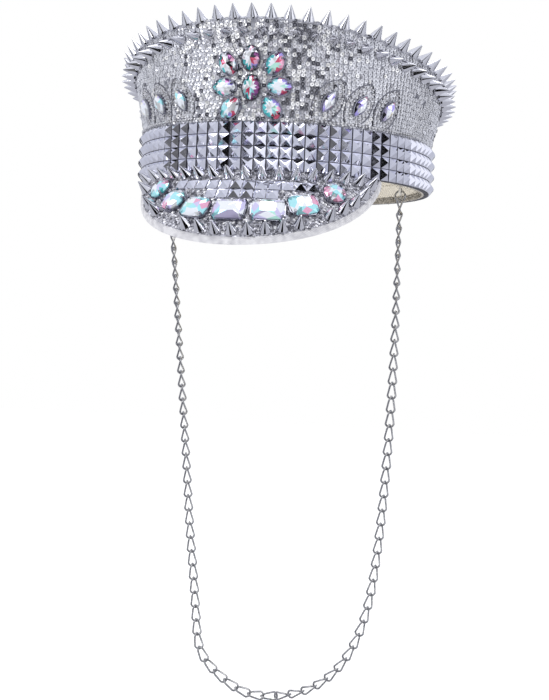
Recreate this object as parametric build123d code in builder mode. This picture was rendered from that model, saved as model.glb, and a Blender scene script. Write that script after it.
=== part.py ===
"""Sequinned peaked cap with spikes, studs, crystals and a hanging chain.

Millimetres. +Z up, the front faces -Y, +X is the wearer's left. The origin is the
middle of the head opening, level with the band's lower edge.
"""

from build123d import *
from math import atan2, cos, degrees, hypot, radians, sin, sqrt, tan
import os

os.makedirs("parts", exist_ok=True)

# Head opening and band
head_semi_x = 84.2
head_semi_y = 97.4
band_height = 28.0
sweatband_thickness = 1.2
core_thickness = 2.0
cover_thickness = 1.0
hem_height = 4.0
lining_thickness = 0.6
lining_gap = 0.3

# Pyramid studs, four rows that fill the band's height
stud_rows = 4
stud_gap = 0.4
stud_column_gap = 0.6
stud_lip = 0.6
stud_rise = 2.4
stud_tip = 0.4

# Crown
crown_front_height = 86.0
crown_side_height = 64.0
crown_rear_height = 52.0
crown_lean_x = 0.21
crown_lean_y = 0.03
panel_thickness = 1.6
hoop_thickness = 1.2
hoop_height = 5.0
stay_thickness = 1.0
stay_width = 44.0

# Cone spikes
spike_radius = 3.5
spike_length = 8.2
spike_lip = 0.8
spike_tip = 0.3
crown_spike_pitch = 10.1
lower_spike_drop = 8.0
upper_rise_front = 62.0
upper_rise_side = 27.0

# Visor
visor_slope = 52.5
visor_reach = 30.6
visor_rim_radius = 69.8
visor_cover_thickness = 0.5
visor_board_thickness = 0.9
visor_under_thickness = 0.3
binding_thickness = 1.0
binding_overlap = 0.2
seam_spike_slant = 3.8
visor_stud_rows = 2
visor_spike_pitch = 9.3
rim_spike_margin = 0.2

# Set stones
cup_wall = 0.6
cup_floor = 0.5
cup_depth = 1.8
stone_fit = 0.05
stone_girdle = 1.8
stone_crown = 2.6
stone_table = 0.58

# Chain and what it hangs from
chain_anchor_x = 73.2
chain_plane_y = -7.0
chain_axis_z = 0.0
strap_thickness = 1.2
strap_width = 7.0
strap_bend_z = 6.0
strap_sewn_length = 9.0
strap_top_z = 27.0
eyelet_radius = 2.0
eyelet_bore = 1.3
ring_radius = 3.0
ring_wire = 1.2
link_wire = 1.25
link_width = 6.4
link_clearance = 0.25
link_pitch_wanted = 8.7
link_twist = 45.0

seat = 0.05  # gap under hard trim that sits on a curved face

# Worked out from the sizes above
cover_inset = sweatband_thickness + core_thickness
band_wall = cover_inset + cover_thickness
band_x = head_semi_x + band_wall
band_y = head_semi_y + band_wall
stud_pitch = band_height / stud_rows
stud_size = stud_pitch - stud_gap
stud_column_pitch = stud_size + stud_column_gap
stud_height = stud_lip + stud_rise
visor_run = cos(radians(visor_slope))
visor_fall = sin(radians(visor_slope))
visor_thickness = visor_cover_thickness + visor_board_thickness + visor_under_thickness
visor_centre_y = visor_rim_radius - band_y - visor_reach
half_span = 2 * band_y


def place_all(piece, planes):
    """Copies of one piece on many planes, as one part of separate solids."""
    with BuildPart() as group:
        with Locations(*[Location(plane) for plane in planes]):
            add(piece)
    return group.part


def wall_plane(angle, semi_x, semi_y, height, lean_x=0.0, lean_y=0.0, offset=0.0):
    """Plane on a leaning elliptical wall, its Z axis outwards and its Y axis up.

    The angle runs from the front (-Y) towards +X; lean is outward run per mm of rise.
    """
    turn = radians(angle)
    point = Vector(semi_x * sin(turn), -semi_y * cos(turn), height)
    along = Vector(semi_x * cos(turn), semi_y * sin(turn), 0)
    rise = Vector(lean_x * sin(turn), -lean_y * cos(turn), 1)
    outward = along.cross(rise).normalized()
    return Plane(origin=point + outward * offset, x_dir=along, z_dir=outward)


def even_angles(semi_x, semi_y, pitch, phase=0.0):
    """Angles that step evenly round an ellipse's edge, starting at the front."""
    loop = Edge.make_ellipse(semi_y, semi_x)
    count = round(loop.length / pitch)
    points = [loop.position_at((step + phase) / count) for step in range(count)]
    return [degrees(atan2(point.Y / semi_x, point.X / semi_y)) for point in points]


# ---------------------------------------------------------------- band


def band_ring(inner, outer, bottom, top):
    """Elliptical ring between two distances out from the head opening."""
    with BuildPart() as ring:
        with BuildSketch(Plane.XY.offset(bottom)):
            Ellipse(head_semi_x + outer, head_semi_y + outer)
            Ellipse(head_semi_x + inner, head_semi_y + inner, mode=Mode.SUBTRACT)
        extrude(amount=top - bottom)
    return ring.part


sweatband = band_ring(0, sweatband_thickness, hem_height, band_height)
sweatband.label = "sweatband"
export_step(sweatband, "parts/sweatband.step")

hem_tape = band_ring(0, sweatband_thickness, 0, hem_height)
hem_tape.label = "hem_tape"
export_step(hem_tape, "parts/hem_tape.step")

band_core = band_ring(sweatband_thickness, cover_inset, 0, band_height)
band_core.label = "band_core"
export_step(band_core, "parts/band_core.step")

band_cover = band_ring(cover_inset, band_wall, 0, band_height)
band_cover.label = "band_cover"
export_step(band_cover, "parts/band_cover.step")

with BuildPart() as stud:
    with BuildSketch():
        Rectangle(stud_size, stud_size)
    extrude(amount=stud_lip)
    with BuildSketch(Plane.XY.offset(stud_lip)):
        Rectangle(stud_size, stud_size)
    with BuildSketch(Plane.XY.offset(stud_height)):
        Rectangle(stud_tip, stud_tip)
    loft(ruled=True)

stud_angles = even_angles(band_x, band_y, stud_column_pitch)
for row in range(stud_rows):
    row_z = (row + 0.5) * stud_pitch
    stud_planes = [wall_plane(a, band_x, band_y, row_z, offset=seat) for a in stud_angles]
    studs = place_all(stud.part, stud_planes)
    studs.label = f"band_studs_row_{row + 1}"
    export_step(studs, f"parts/{studs.label}.step")


# ---------------------------------------------------------------- crown

roof_arc = ThreePointArc(
    (-band_y, crown_front_height), (0, crown_side_height), (band_y, crown_rear_height)
)
roof_centre = roof_arc.arc_center
roof_radius = roof_arc.radius


def roof_height(y):
    """Height of the crown's swept roof, which rises towards the front."""
    return roof_centre.Y - sqrt(roof_radius**2 - (y - roof_centre.X) ** 2)


def crown_semi(height):
    rise = height - band_height
    return band_x + rise * crown_lean_x, band_y + rise * crown_lean_y


def rim_height(angle):
    """Height where the crown's wall meets its roof."""
    height = crown_side_height
    for _ in range(12):
        height = roof_height(-crown_semi(height)[1] * cos(radians(angle)))
    return height


def roof_points(drop):
    return [(y, roof_height(y) - drop) for y in (-half_span / 1.6, 0, half_span / 1.6)]


def crown_piece(outer_inset, inner_inset, top_drop, bottom_drop=None):
    """Layer of the crown, between two insets from its wall and two drops from its roof.

    With no inner inset it is a full disc; with no bottom drop it stands on the band.
    """
    loft_top = crown_front_height + spike_length
    with BuildPart() as piece:
        for height in (band_height, loft_top):
            semi_x, semi_y = crown_semi(height)
            with BuildSketch(Plane.XY.offset(height)):
                Ellipse(semi_x - outer_inset, semi_y - outer_inset)
        loft(ruled=True)
        if inner_inset is not None:
            for height in (band_height, loft_top):
                semi_x, semi_y = crown_semi(height)
                with BuildSketch(Plane.XY.offset(height)):
                    Ellipse(semi_x - inner_inset, semi_y - inner_inset)
            loft(ruled=True, mode=Mode.SUBTRACT)
        with BuildSketch(Plane.YZ.offset(-half_span)):
            with BuildLine():
                top = roof_points(top_drop)
                ThreePointArc(*top)
                if bottom_drop is None:
                    bottom = [(top[0][0], band_height), (top[2][0], band_height)]
                    Line(*bottom)
                else:
                    low = roof_points(bottom_drop)
                    ThreePointArc(*low)
                    bottom = [low[0], low[2]]
                Line(top[0], bottom[0])
                Line(top[2], bottom[1])
            make_face()
        extrude(amount=2 * half_span, mode=Mode.INTERSECT)
    return piece.part


crown_side_panel = crown_piece(0, panel_thickness, panel_thickness)
crown_side_panel.label = "crown_side_panel"
export_step(crown_side_panel, "parts/crown_side_panel.step")

crown_top_panel = crown_piece(0, None, 0, panel_thickness)
crown_top_panel.label = "crown_top_panel"
export_step(crown_top_panel, "parts/crown_top_panel.step")

# The hoop springs the crown's edge outwards, just under the top panel.
hoop_inset = panel_thickness + hoop_thickness
hoop_bottom = panel_thickness + hoop_height
crown_edge_hoop = crown_piece(panel_thickness, hoop_inset, panel_thickness, hoop_bottom)
crown_edge_hoop.label = "crown_edge_hoop"
export_step(crown_edge_hoop, "parts/crown_edge_hoop.step")

# The stay stands on the band behind the front of the side panel and ends under the hoop.
with BuildPart() as crown_front_stay:
    add(crown_piece(panel_thickness, panel_thickness + stay_thickness, hoop_bottom))
    with BuildSketch():
        with Locations((0, -band_y)):
            Rectangle(stay_width, band_y)
    extrude(amount=crown_front_height, mode=Mode.INTERSECT)
crown_front_stay.part.label = "crown_front_stay"
export_step(crown_front_stay.part, "parts/crown_front_stay.step")

lining_inset = hoop_inset + lining_gap
lining_drop = panel_thickness + lining_gap + lining_thickness
crown_side_lining = crown_piece(lining_inset, lining_inset + lining_thickness, lining_drop)
crown_side_lining.label = "crown_side_lining"
export_step(crown_side_lining, "parts/crown_side_lining.step")

crown_top_lining = crown_piece(lining_inset, None, panel_thickness + lining_gap, lining_drop)
crown_top_lining.label = "crown_top_lining"
export_step(crown_top_lining, "parts/crown_top_lining.step")


# ---------------------------------------------------------------- spikes

with BuildPart() as spike:
    with BuildSketch(Plane.XZ):
        with BuildLine():
            Polyline(
                (0, 0),
                (spike_radius, 0),
                (spike_radius, spike_lip),
                (spike_tip, spike_length),
                (0, spike_length),
                close=True,
            )
        make_face()
    revolve(axis=Axis.Z)


def crown_wall(angle, drop):
    """Plane on the crown's wall, a drop below the rim."""
    height = rim_height(angle) - drop
    return wall_plane(angle, *crown_semi(height), height, crown_lean_x, crown_lean_y)


def crown_spike_plane(angle, drop, rise):
    """Plane of a spike's foot, tipped up from level by rise and square to the rim."""
    wall = crown_wall(angle, drop)
    rim_way = (crown_wall(angle + 1, drop).origin - crown_wall(angle - 1, drop).origin).normalized()
    level = Vector(wall.z_dir.X, wall.z_dir.Y, 0).normalized()
    leaning = level * cos(radians(rise)) + Vector(0, 0, 1) * sin(radians(rise))
    pointing = (leaning - rim_way * leaning.dot(rim_way)).normalized()
    tilt = sqrt(1 - min(1, pointing.dot(wall.z_dir)) ** 2)
    dig = spike_radius * tilt if drop > 0 else 0.0
    return Plane(wall.origin + pointing * (dig + seat), x_dir=rim_way, z_dir=pointing)


rim_semi_x, rim_semi_y = crown_semi(crown_side_height)
upper_planes = []
for angle in even_angles(rim_semi_x, rim_semi_y, crown_spike_pitch):
    share = max(cos(radians(angle)), 0)
    rise = upper_rise_side + (upper_rise_front - upper_rise_side) * share
    upper_planes.append(crown_spike_plane(angle, 0, rise))
crown_upper_spikes = place_all(spike.part, upper_planes)
crown_upper_spikes.label = "crown_upper_spikes"
export_step(crown_upper_spikes, "parts/crown_upper_spikes.step")

lower_angles = even_angles(rim_semi_x, rim_semi_y, crown_spike_pitch, phase=0.5)
lower_planes = [crown_spike_plane(angle, lower_spike_drop, 0) for angle in lower_angles]
crown_lower_spikes = place_all(spike.part, lower_planes)
crown_lower_spikes.label = "crown_lower_spikes"
export_step(crown_lower_spikes, "parts/crown_lower_spikes.step")


# ---------------------------------------------------------------- visor


def visor_plane(angle, slant, offset=0.0):
    """Plane on the visor's upper face, slant mm down from its root."""
    run = slant * visor_run
    lean = -visor_run / visor_fall
    return wall_plane(
        angle, band_x + run, band_y + run, -slant * visor_fall, lean, lean, offset
    )


def visor_spot(x, y):
    """Angle and slant of the point of the upper face above a plan position."""
    low, high = 0.0, half_span
    for _ in range(50):
        slant = (low + high) / 2
        run = slant * visor_run
        if hypot(x / (band_x + run), y / (band_y + run)) > 1:
            low = slant
        else:
            high = slant
    return degrees(atan2(x / (band_x + run), -y / (band_y + run))), slant


def rim_slant(angle):
    """Slant from the root to the rim, at one angle."""
    turn = radians(angle)
    x, y = band_x * sin(turn), -band_y * cos(turn) - visor_centre_y
    run_x, run_y = visor_run * sin(turn), -visor_run * cos(turn)
    square = run_x**2 + run_y**2
    half = x * run_x + y * run_y
    root = half**2 - square * (x**2 + y**2 - visor_rim_radius**2)
    return (sqrt(root) - half) / square if root > 0 else 0.0


def visor_piece(top, bottom, outer_radius, inner_radius=0.0):
    """Layer of the visor between two depths below its upper face."""
    deepest = (visor_reach + 2 * visor_thickness) * visor_fall / visor_run
    with BuildPart() as piece:
        for depth, mode in ((top, Mode.ADD), (bottom, Mode.SUBTRACT)):
            inset = depth / visor_fall
            for drop in (0, deepest):
                run = drop * visor_run / visor_fall - inset
                with BuildSketch(Plane.XY.offset(-drop)):
                    Ellipse(band_x + run, band_y + run)
            loft(ruled=True, mode=mode)
        with BuildSketch(Plane.XY.offset(-deepest)):
            with Locations((0, visor_centre_y)):
                Circle(outer_radius)
                Rectangle(half_span, half_span, align=(Align.CENTER, Align.MIN), mode=Mode.SUBTRACT)
                if inner_radius > 0:
                    Circle(inner_radius, mode=Mode.SUBTRACT)
        extrude(amount=deepest, mode=Mode.INTERSECT)
    return piece.part


board_top = visor_cover_thickness
board_bottom = board_top + visor_board_thickness
visor_cover = visor_piece(0, board_top, visor_rim_radius)
visor_cover.label = "visor_cover"
export_step(visor_cover, "parts/visor_cover.step")

visor_board = visor_piece(board_top, board_bottom, visor_rim_radius)
visor_board.label = "visor_board"
export_step(visor_board, "parts/visor_board.step")

visor_underlining = visor_piece(board_bottom, visor_thickness, visor_rim_radius)
visor_underlining.label = "visor_underlining"
export_step(visor_underlining, "parts/visor_underlining.step")

visor_binding = visor_piece(
    0, visor_thickness + binding_overlap, visor_rim_radius + binding_thickness, visor_rim_radius
)
visor_binding.label = "visor_binding"
export_step(visor_binding, "parts/visor_binding.step")


# ---------------------------------------------------------------- set stones


def oval(width, height):
    with BuildSketch() as shape:
        Ellipse(width / 2, height / 2)
    return shape.sketch


def cut_corner(width, height):
    with BuildSketch() as shape:
        Rectangle(width, height)
        chamfer(shape.vertices(), min(width, height) * 0.24)
    return shape.sketch


def marquise(width, height):
    """Pointed oval: two arcs that meet at its ends."""
    with BuildSketch() as shape:
        with BuildLine():
            ThreePointArc((-width / 2, 0), (0, height / 2), (width / 2, 0))
            ThreePointArc((-width / 2, 0), (0, -height / 2), (width / 2, 0))
        make_face()
    return shape.sketch


def set_stone(outline, width, height):
    """A faceted stone and the metal cup that holds it."""
    slack = 2 * (cup_wall + stone_fit)
    with BuildPart() as cup:
        with BuildSketch():
            add(outline(width + slack, height + slack))
        extrude(amount=cup_depth)
        with BuildSketch(Plane.XY.offset(cup_floor)):
            add(outline(width + 2 * stone_fit, height + 2 * stone_fit))
        extrude(amount=cup_depth, mode=Mode.SUBTRACT)
    girdle_top = cup_floor + stone_girdle
    with BuildPart() as stone:
        with BuildSketch(Plane.XY.offset(cup_floor)):
            add(outline(width, height))
        extrude(amount=stone_girdle)
        with BuildSketch(Plane.XY.offset(girdle_top)):
            add(outline(width, height))
        with BuildSketch(Plane.XY.offset(girdle_top + stone_crown)):
            add(outline(width * stone_table, height * stone_table))
        loft(ruled=True)
    return stone.part, cup.part


def turned(plane, turn):
    """The same plane, turned about its own Z axis."""
    spin = radians(turn)
    return Plane(
        plane.origin, x_dir=plane.x_dir * cos(spin) + plane.y_dir * sin(spin), z_dir=plane.z_dir
    )


# Crystals on the visor: outline, width, height, angle, slant, turn
rectangle_size = (18.4, 14.0)
cushion_size = (16.4, 14.2)
round_size = (15.0, 15.0)
small_round_size = (13.4, 13.4)
visor_stones = {
    "visor_rectangle_crystals": (cut_corner, rectangle_size, [(-2, 31.3, 0), (9.5, 31, 0)]),
    "visor_cushion_crystals": (cut_corner, cushion_size, [(-13, 30, -8), (20, 26, 10)]),
    "visor_round_crystals": (oval, round_size, [(-22.5, 24.5, 0)]),
    "visor_small_crystals": (oval, small_round_size, [(-32, 15, 0), (30.5, 15.4, 0)]),
}

feet = []  # plane, half width, half height and rounding of all that stands on the visor
visor_cups = []
for name, (outline, size, spots) in visor_stones.items():
    stone, cup = set_stone(outline, *size)
    planes = [turned(visor_plane(a, slant, seat), turn) for a, slant, turn in spots]
    crystals = place_all(stone, planes)
    crystals.label = name
    export_step(crystals, f"parts/{name}.step")
    visor_cups.append(place_all(cup, planes))
    margin = cup_wall + stone_fit + stud_gap
    rounding = min(size) / 2 if outline is oval else 0
    half_width, half_height = size[0] / 2 - rounding, size[1] / 2 - rounding
    feet += [(plane, half_width, half_height, rounding + margin) for plane in planes]

with BuildPart() as visor_crystal_cups:
    add(visor_cups)
visor_crystal_cups.part.label = "visor_crystal_cups"
export_step(visor_crystal_cups.part, "parts/visor_crystal_cups.step")


def is_clear(place, half, rounding):
    """True where a new foot, a square with a rounding round it, meets no other foot."""
    for plane, half_width, half_height, other_rounding in feet:
        local = plane.to_local_coords(place.origin)
        beside = max(abs(local.X) - half_width - half, 0)
        above = max(abs(local.Y) - half_height - half, 0)
        if hypot(beside, above) <= rounding + other_rounding:
            return False
    return True


# Spikes along the rim, each foot just inside it, up to where the rim nears the root
spike_step = degrees(visor_spike_pitch / (visor_rim_radius - spike_radius))
rim_places = []
for index in range(-30, 31):
    swing = radians(index * spike_step)
    if abs(swing) > radians(89):
        continue
    rim_x, rim_y = visor_rim_radius * sin(swing), visor_centre_y - visor_rim_radius * cos(swing)
    askew = swing - radians(visor_spot(rim_x, rim_y)[0])
    inset = spike_radius * hypot(visor_run * cos(askew), sin(askew)) + rim_spike_margin
    reach = visor_rim_radius - inset
    angle, slant = visor_spot(reach * sin(swing), visor_centre_y - reach * cos(swing))
    place = visor_plane(angle, slant, seat)
    if slant > seam_spike_slant and is_clear(place, 0, spike_radius):
        rim_places.append(place)
feet += [(place, 0, 0, spike_radius + stud_gap) for place in rim_places]
visor_rim_spikes = place_all(spike.part, rim_places)
visor_rim_spikes.label = "visor_rim_spikes"
export_step(visor_rim_spikes, "parts/visor_rim_spikes.step")

# Spikes along the seam with the band
seam_places = []
for angle in even_angles(band_x, band_y, visor_spike_pitch):
    place = visor_plane(angle, seam_spike_slant, seat)
    if rim_slant(angle) < seam_spike_slant + spike_radius:
        continue
    if is_clear(place, 0, spike_radius):
        seam_places.append(place)
feet += [(place, 0, 0, spike_radius) for place in seam_places]
visor_seam_spikes = place_all(spike.part, seam_places)
visor_seam_spikes.label = "visor_seam_spikes"
export_step(visor_seam_spikes, "parts/visor_seam_spikes.step")

# Rows of studs between the seam spikes and the crystals
stud_places = []
for row in range(visor_stud_rows):
    slant = seam_spike_slant + spike_radius + stud_gap + (row + 0.5) * stud_pitch
    run = slant * visor_run
    for angle in even_angles(band_x + run, band_y + run, stud_column_pitch, phase=0.5):
        place = visor_plane(angle, slant, seat)
        if rim_slant(angle) < slant + stud_size:
            continue
        if is_clear(place, stud_size / 2, 0):
            stud_places.append(place)
visor_studs = place_all(stud.part, stud_places)
visor_studs.label = "visor_studs"
export_step(visor_studs, "parts/visor_studs.step")


# ---------------------------------------------------------------- badge and motifs


def crown_place(angle, height, turn=0.0, offset=seat):
    """Plane on the crown's wall, turned about its outward axis."""
    wall = wall_plane(
        angle, *crown_semi(height), height, crown_lean_x, crown_lean_y, offset
    )
    return turned(wall, turn)


badge_stone_size = (14.0, 10.0)
badge_stone, badge_cup = set_stone(oval, *badge_stone_size)
badge_spots = [  # angle, height, turn of the long axis
    (-7.9, 60.0, 120), (0.2, 63.0, 90), (8.4, 60.4, 60),
    (-9.0, 46.9, 0), (0.6, 46.6, 90), (10.4, 47.5, 0),
    (-6.9, 35.0, 48), (8.2, 35.2, 125),
]
badge_planes = [crown_place(*spot) for spot in badge_spots]
badge_crystals = place_all(badge_stone, badge_planes)
badge_crystals.label = "badge_crystals"
export_step(badge_crystals, "parts/badge_crystals.step")

badge_cups = place_all(badge_cup, badge_planes)
badge_cups.label = "badge_cups"
export_step(badge_cups, "parts/badge_cups.step")

# Leaf motifs: three leaves on each side, each a marquise stone in a double outline
leaf_length = 26.0
leaf_width = 14.5
leaf_lean = 30.0
rhinestone_radius = 1.0
rhinestone_height = 1.1
rhinestone_pitch = 2.3
marquise_size = (13.5, 6.4)
leaf_spots = [(28.0, 41.0), (40.0, 40.5), (52.0, 40.0)]  # angle and height of each middle
side_names = {1: "left", -1: "right"}

motif_stone, motif_cup = set_stone(marquise, *marquise_size)
with BuildPart() as rhinestone:
    Cone(rhinestone_radius, rhinestone_radius / 2, rhinestone_height,
         align=(Align.CENTER, Align.CENTER, Align.MIN))


def leaf_points(length, width, count):
    """Points evenly along both edges of a leaf, its long axis along X."""
    with BuildLine() as edges:
        ThreePointArc((-length / 2, 0), (0, width / 2), (length / 2, 0))
        ThreePointArc((-length / 2, 0), (0, -width / 2), (length / 2, 0))
    points = []
    for edge in edges.edges():
        points += [edge.position_at((step + 0.5) / count) for step in range(count)]
    return points


def is_clear_of(place, others, distance):
    return all((place.origin - other.origin).length > distance for other in others)


def on_crown(middle, along, up):
    """Plane on the crown's wall, a distance along and up from a leaf's middle."""
    angle, height = middle
    semi_x, semi_y = crown_semi(height)
    turn = radians(angle)
    step = degrees(along / hypot(semi_x * cos(turn), semi_y * sin(turn)))
    return crown_place(angle + step, height + up)


for side, name in side_names.items():
    stone_planes = []
    bead_planes = []
    for angle, height in leaf_spots:
        middle = (side * angle, height)
        lean = side * (90 - leaf_lean)
        stone_planes.append(crown_place(*middle, turn=lean))
        for inset in (0, rhinestone_pitch):
            length, width = leaf_length - 3 * inset, leaf_width - 2 * inset
            count = int(length * 1.12 / rhinestone_pitch)
            for point in leaf_points(length, width, count):
                along = point.X * cos(radians(lean)) - point.Y * sin(radians(lean))
                up = point.X * sin(radians(lean)) + point.Y * cos(radians(lean))
                if height + up < band_height + rhinestone_radius:
                    continue
                place = on_crown(middle, along, up)
                if is_clear_of(place, bead_planes, 2 * rhinestone_radius + seat):
                    bead_planes.append(place)
    stones = place_all(motif_stone, stone_planes)
    stones.label = f"{name}_motif_stones"
    export_step(stones, f"parts/{stones.label}.step")
    cups = place_all(motif_cup, stone_planes)
    cups.label = f"{name}_motif_cups"
    export_step(cups, f"parts/{cups.label}.step")
    beads = place_all(rhinestone.part, bead_planes)
    beads.label = f"{name}_motif_rhinestones"
    export_step(beads, f"parts/{beads.label}.step")


# ---------------------------------------------------------------- chain

eye_z = chain_axis_z + eyelet_bore - ring_wire / 2 - link_clearance
sweatband_x = head_semi_x * sqrt(1 - ((abs(chain_plane_y) + strap_width / 2) / head_semi_y) ** 2)
sewn_x = sweatband_x - seat - strap_thickness / 2
strap_path = [
    (sewn_x, strap_top_z),
    (sewn_x, strap_top_z - strap_sewn_length),
    (chain_anchor_x, strap_bend_z),
    (chain_anchor_x, eye_z - strap_width / 2),
]
strap_outline = [(x + strap_thickness / 2, z) for x, z in strap_path]
strap_outline += [(x - strap_thickness / 2, z) for x, z in reversed(strap_path)]

with BuildPart() as strap:
    with BuildSketch(Plane.XZ.offset(-chain_plane_y)):
        with BuildLine():
            Polyline(*strap_outline, close=True)
        make_face()
    extrude(amount=strap_width / 2, both=True)
    with BuildSketch(Plane.YZ):
        with Locations((chain_plane_y, eye_z)):
            Circle(strap_width / 2)
            Rectangle(strap_width, 2 * strap_top_z, align=(Align.CENTER, Align.MIN))
            Circle(eyelet_radius, mode=Mode.SUBTRACT)
    extrude(amount=2 * chain_anchor_x, mode=Mode.INTERSECT)

with BuildPart() as eyelet:
    with BuildSketch(Plane.YZ.offset(chain_anchor_x - strap_thickness / 2)):
        with Locations((chain_plane_y, eye_z)):
            Circle(eyelet_radius)
            Circle(eyelet_bore, mode=Mode.SUBTRACT)
    extrude(amount=strap_thickness)

ring_middle_z = chain_axis_z - ring_radius
with BuildPart() as jump_ring:
    with Locations(Location((chain_anchor_x, chain_plane_y, ring_middle_z), (90, 0, 0))):
        Torus(ring_radius, ring_wire / 2)

for name, piece in (("strap", strap), ("strap_eyelet", eyelet), ("jump_ring", jump_ring)):
    piece.part.label = f"left_{name}"
    export_step(piece.part, f"parts/left_{name}.step")
    twin = mirror(piece.part, about=Plane.YZ)
    twin.label = f"right_{name}"
    export_step(twin, f"parts/right_{name}.step")

# The chain's route, x and z, from the left ring to the right one
chain_top = ring_middle_z - ring_radius + (ring_wire + link_clearance) / 2
route = [
    (chain_anchor_x, chain_top),
    (73.4, -45.0),
    (73.9, -90.0),
    (73.3, -140.0),
    (71.3, -190.0),
    (68.6, -228.0),
    (65.0, -255.0),
    (58.5, -277.0),
    (48.0, -295.0),
    (33.5, -307.5),
    (16.5, -313.8),
    (-1.0, -315.8),
    (-14.0, -313.3),
    (-26.0, -306.0),
    (-36.5, -297.0),
    (-42.0, -286.5),
    (-43.9, -270.0),
    (-46.5, -246.0),
    (-50.6, -215.0),
    (-55.0, -170.0),
    (-59.6, -129.0),
    (-64.4, -85.0),
    (-69.2, -40.0),
    (-chain_anchor_x, chain_top),
]
corners = [Vector(x, chain_plane_y, z) for x, z in route]


def corner_radius(before, corner, after):
    """Largest arc that takes under half of the shorter run."""
    turn = radians((corner - before).get_angle(after - corner))
    shorter = min((corner - before).length, (after - corner).length)
    return 0.45 * shorter / tan(turn / 2)


radii = [corner_radius(*corners[i - 1 : i + 2]) for i in range(1, len(corners) - 1)]
print("chain route radii", [round(radius) for radius in radii])
with BuildLine() as route_line:
    FilletPolyline(*corners, radius=radii)
route_wire = route_line.wire()
link_count = round(route_wire.length / link_pitch_wanted)
link_pitch = route_wire.length / link_count
print("chain length", round(route_wire.length, 1), "links", link_count)

link_half = (link_pitch + link_wire + link_clearance) / 2
link_bend = (link_width - link_wire) / 2
link_straight = link_half - link_bend
with BuildPart() as link:
    with BuildLine(Plane.XZ) as link_path:
        Line((link_bend, -link_straight), (link_bend, link_straight))
        ThreePointArc((link_bend, link_straight), (0, link_half), (-link_bend, link_straight))
        Line((-link_bend, link_straight), (-link_bend, -link_straight))
        ThreePointArc((-link_bend, -link_straight), (0, -link_half), (link_bend, -link_straight))
    with BuildSketch(Plane.XY.offset(-link_straight)):
        with Locations((link_bend, 0)):
            Circle(link_wire / 2)
    sweep(path=link_path.wire())

link_planes = []
for index in range(link_count):
    share = (index + 0.5) / link_count
    tangent = route_wire.tangent_at(share)
    level = Vector(0, 1, 0)
    across = level.cross(tangent)
    twist = radians(link_twist if index % 2 else -link_twist)
    side = level * cos(twist) + across * sin(twist)
    link_planes.append(Plane(route_wire.position_at(share), x_dir=side, z_dir=tangent))
chain_links = place_all(link.part, link_planes)
chain_links.label = "chain_links"
export_step(chain_links, "parts/chain_links.step")
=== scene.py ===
import math
import random

import bmesh
import bpy
import numpy as np
from mathutils import Matrix, Vector
from mathutils.bvhtree import BVHTree


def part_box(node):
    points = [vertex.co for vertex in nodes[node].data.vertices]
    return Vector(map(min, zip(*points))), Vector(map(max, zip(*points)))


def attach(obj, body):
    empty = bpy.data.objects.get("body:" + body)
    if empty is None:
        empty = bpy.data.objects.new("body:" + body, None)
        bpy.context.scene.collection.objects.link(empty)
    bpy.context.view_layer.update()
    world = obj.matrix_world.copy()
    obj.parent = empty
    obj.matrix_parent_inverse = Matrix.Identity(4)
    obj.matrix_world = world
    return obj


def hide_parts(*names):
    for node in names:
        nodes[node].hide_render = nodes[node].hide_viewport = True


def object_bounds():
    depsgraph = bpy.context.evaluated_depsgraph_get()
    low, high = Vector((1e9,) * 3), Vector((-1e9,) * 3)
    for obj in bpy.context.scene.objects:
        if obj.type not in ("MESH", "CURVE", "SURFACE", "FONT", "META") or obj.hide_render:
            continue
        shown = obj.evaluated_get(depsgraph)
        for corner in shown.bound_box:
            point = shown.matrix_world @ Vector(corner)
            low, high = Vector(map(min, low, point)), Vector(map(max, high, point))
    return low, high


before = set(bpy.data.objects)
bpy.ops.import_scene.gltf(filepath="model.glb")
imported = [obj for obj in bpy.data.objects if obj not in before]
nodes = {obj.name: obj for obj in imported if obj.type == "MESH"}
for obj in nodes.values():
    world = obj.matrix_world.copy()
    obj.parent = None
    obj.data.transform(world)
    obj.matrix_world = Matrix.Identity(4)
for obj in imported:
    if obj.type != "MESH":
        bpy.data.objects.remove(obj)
mm = 0.001


def plainBox():
    return [list(corner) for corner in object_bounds()]


cadBox = plainBox()
floorLevel = cadBox[0][2] - 12 * mm
print("frame loaded,", len(nodes), "nodes")


# ---- handling pieces ----

def deselectAll():
    if bpy.context.mode != "OBJECT":
        bpy.ops.object.mode_set(mode="OBJECT")
    bpy.ops.object.select_all(action="DESELECT")


def pickUp(piece):
    deselectAll()
    piece.select_set(True)
    bpy.context.view_layer.objects.active = piece


def startEditing(piece):
    pickUp(piece)
    bpy.ops.object.mode_set(mode="EDIT")
    bpy.ops.mesh.select_all(action="DESELECT")


def selectFaces(piece, test):
    # faces whose middle and normal pass the test, from edit mode
    bpy.ops.object.mode_set(mode="OBJECT")
    for face in piece.data.polygons:
        face.select = test(face.center, face.normal)
    bpy.ops.object.mode_set(mode="EDIT")


def finishPiece(piece, name, material, body="cap", smooth=None):
    pickUp(piece)
    bpy.ops.object.transform_apply(location=True, rotation=True, scale=True)
    if smooth is not None:
        bpy.ops.object.shade_smooth_by_angle(angle=math.radians(smooth))
    piece.name = name
    piece.data.name = name
    piece.data.materials.clear()
    piece.data.materials.append(material)
    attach(piece, body)
    deselectAll()
    return piece


def meshPiece(name, points, faces, tints=None):
    # one mesh from worked-out points, with a colour for each face
    mesh = bpy.data.meshes.new(name)
    mesh.from_pydata([tuple(point) for point in points], [], faces)
    mesh.update()
    piece = bpy.data.objects.new(name, mesh)
    bpy.context.scene.collection.objects.link(piece)
    if tints is not None:
        paintFaces(piece, tints)
    return piece


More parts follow.
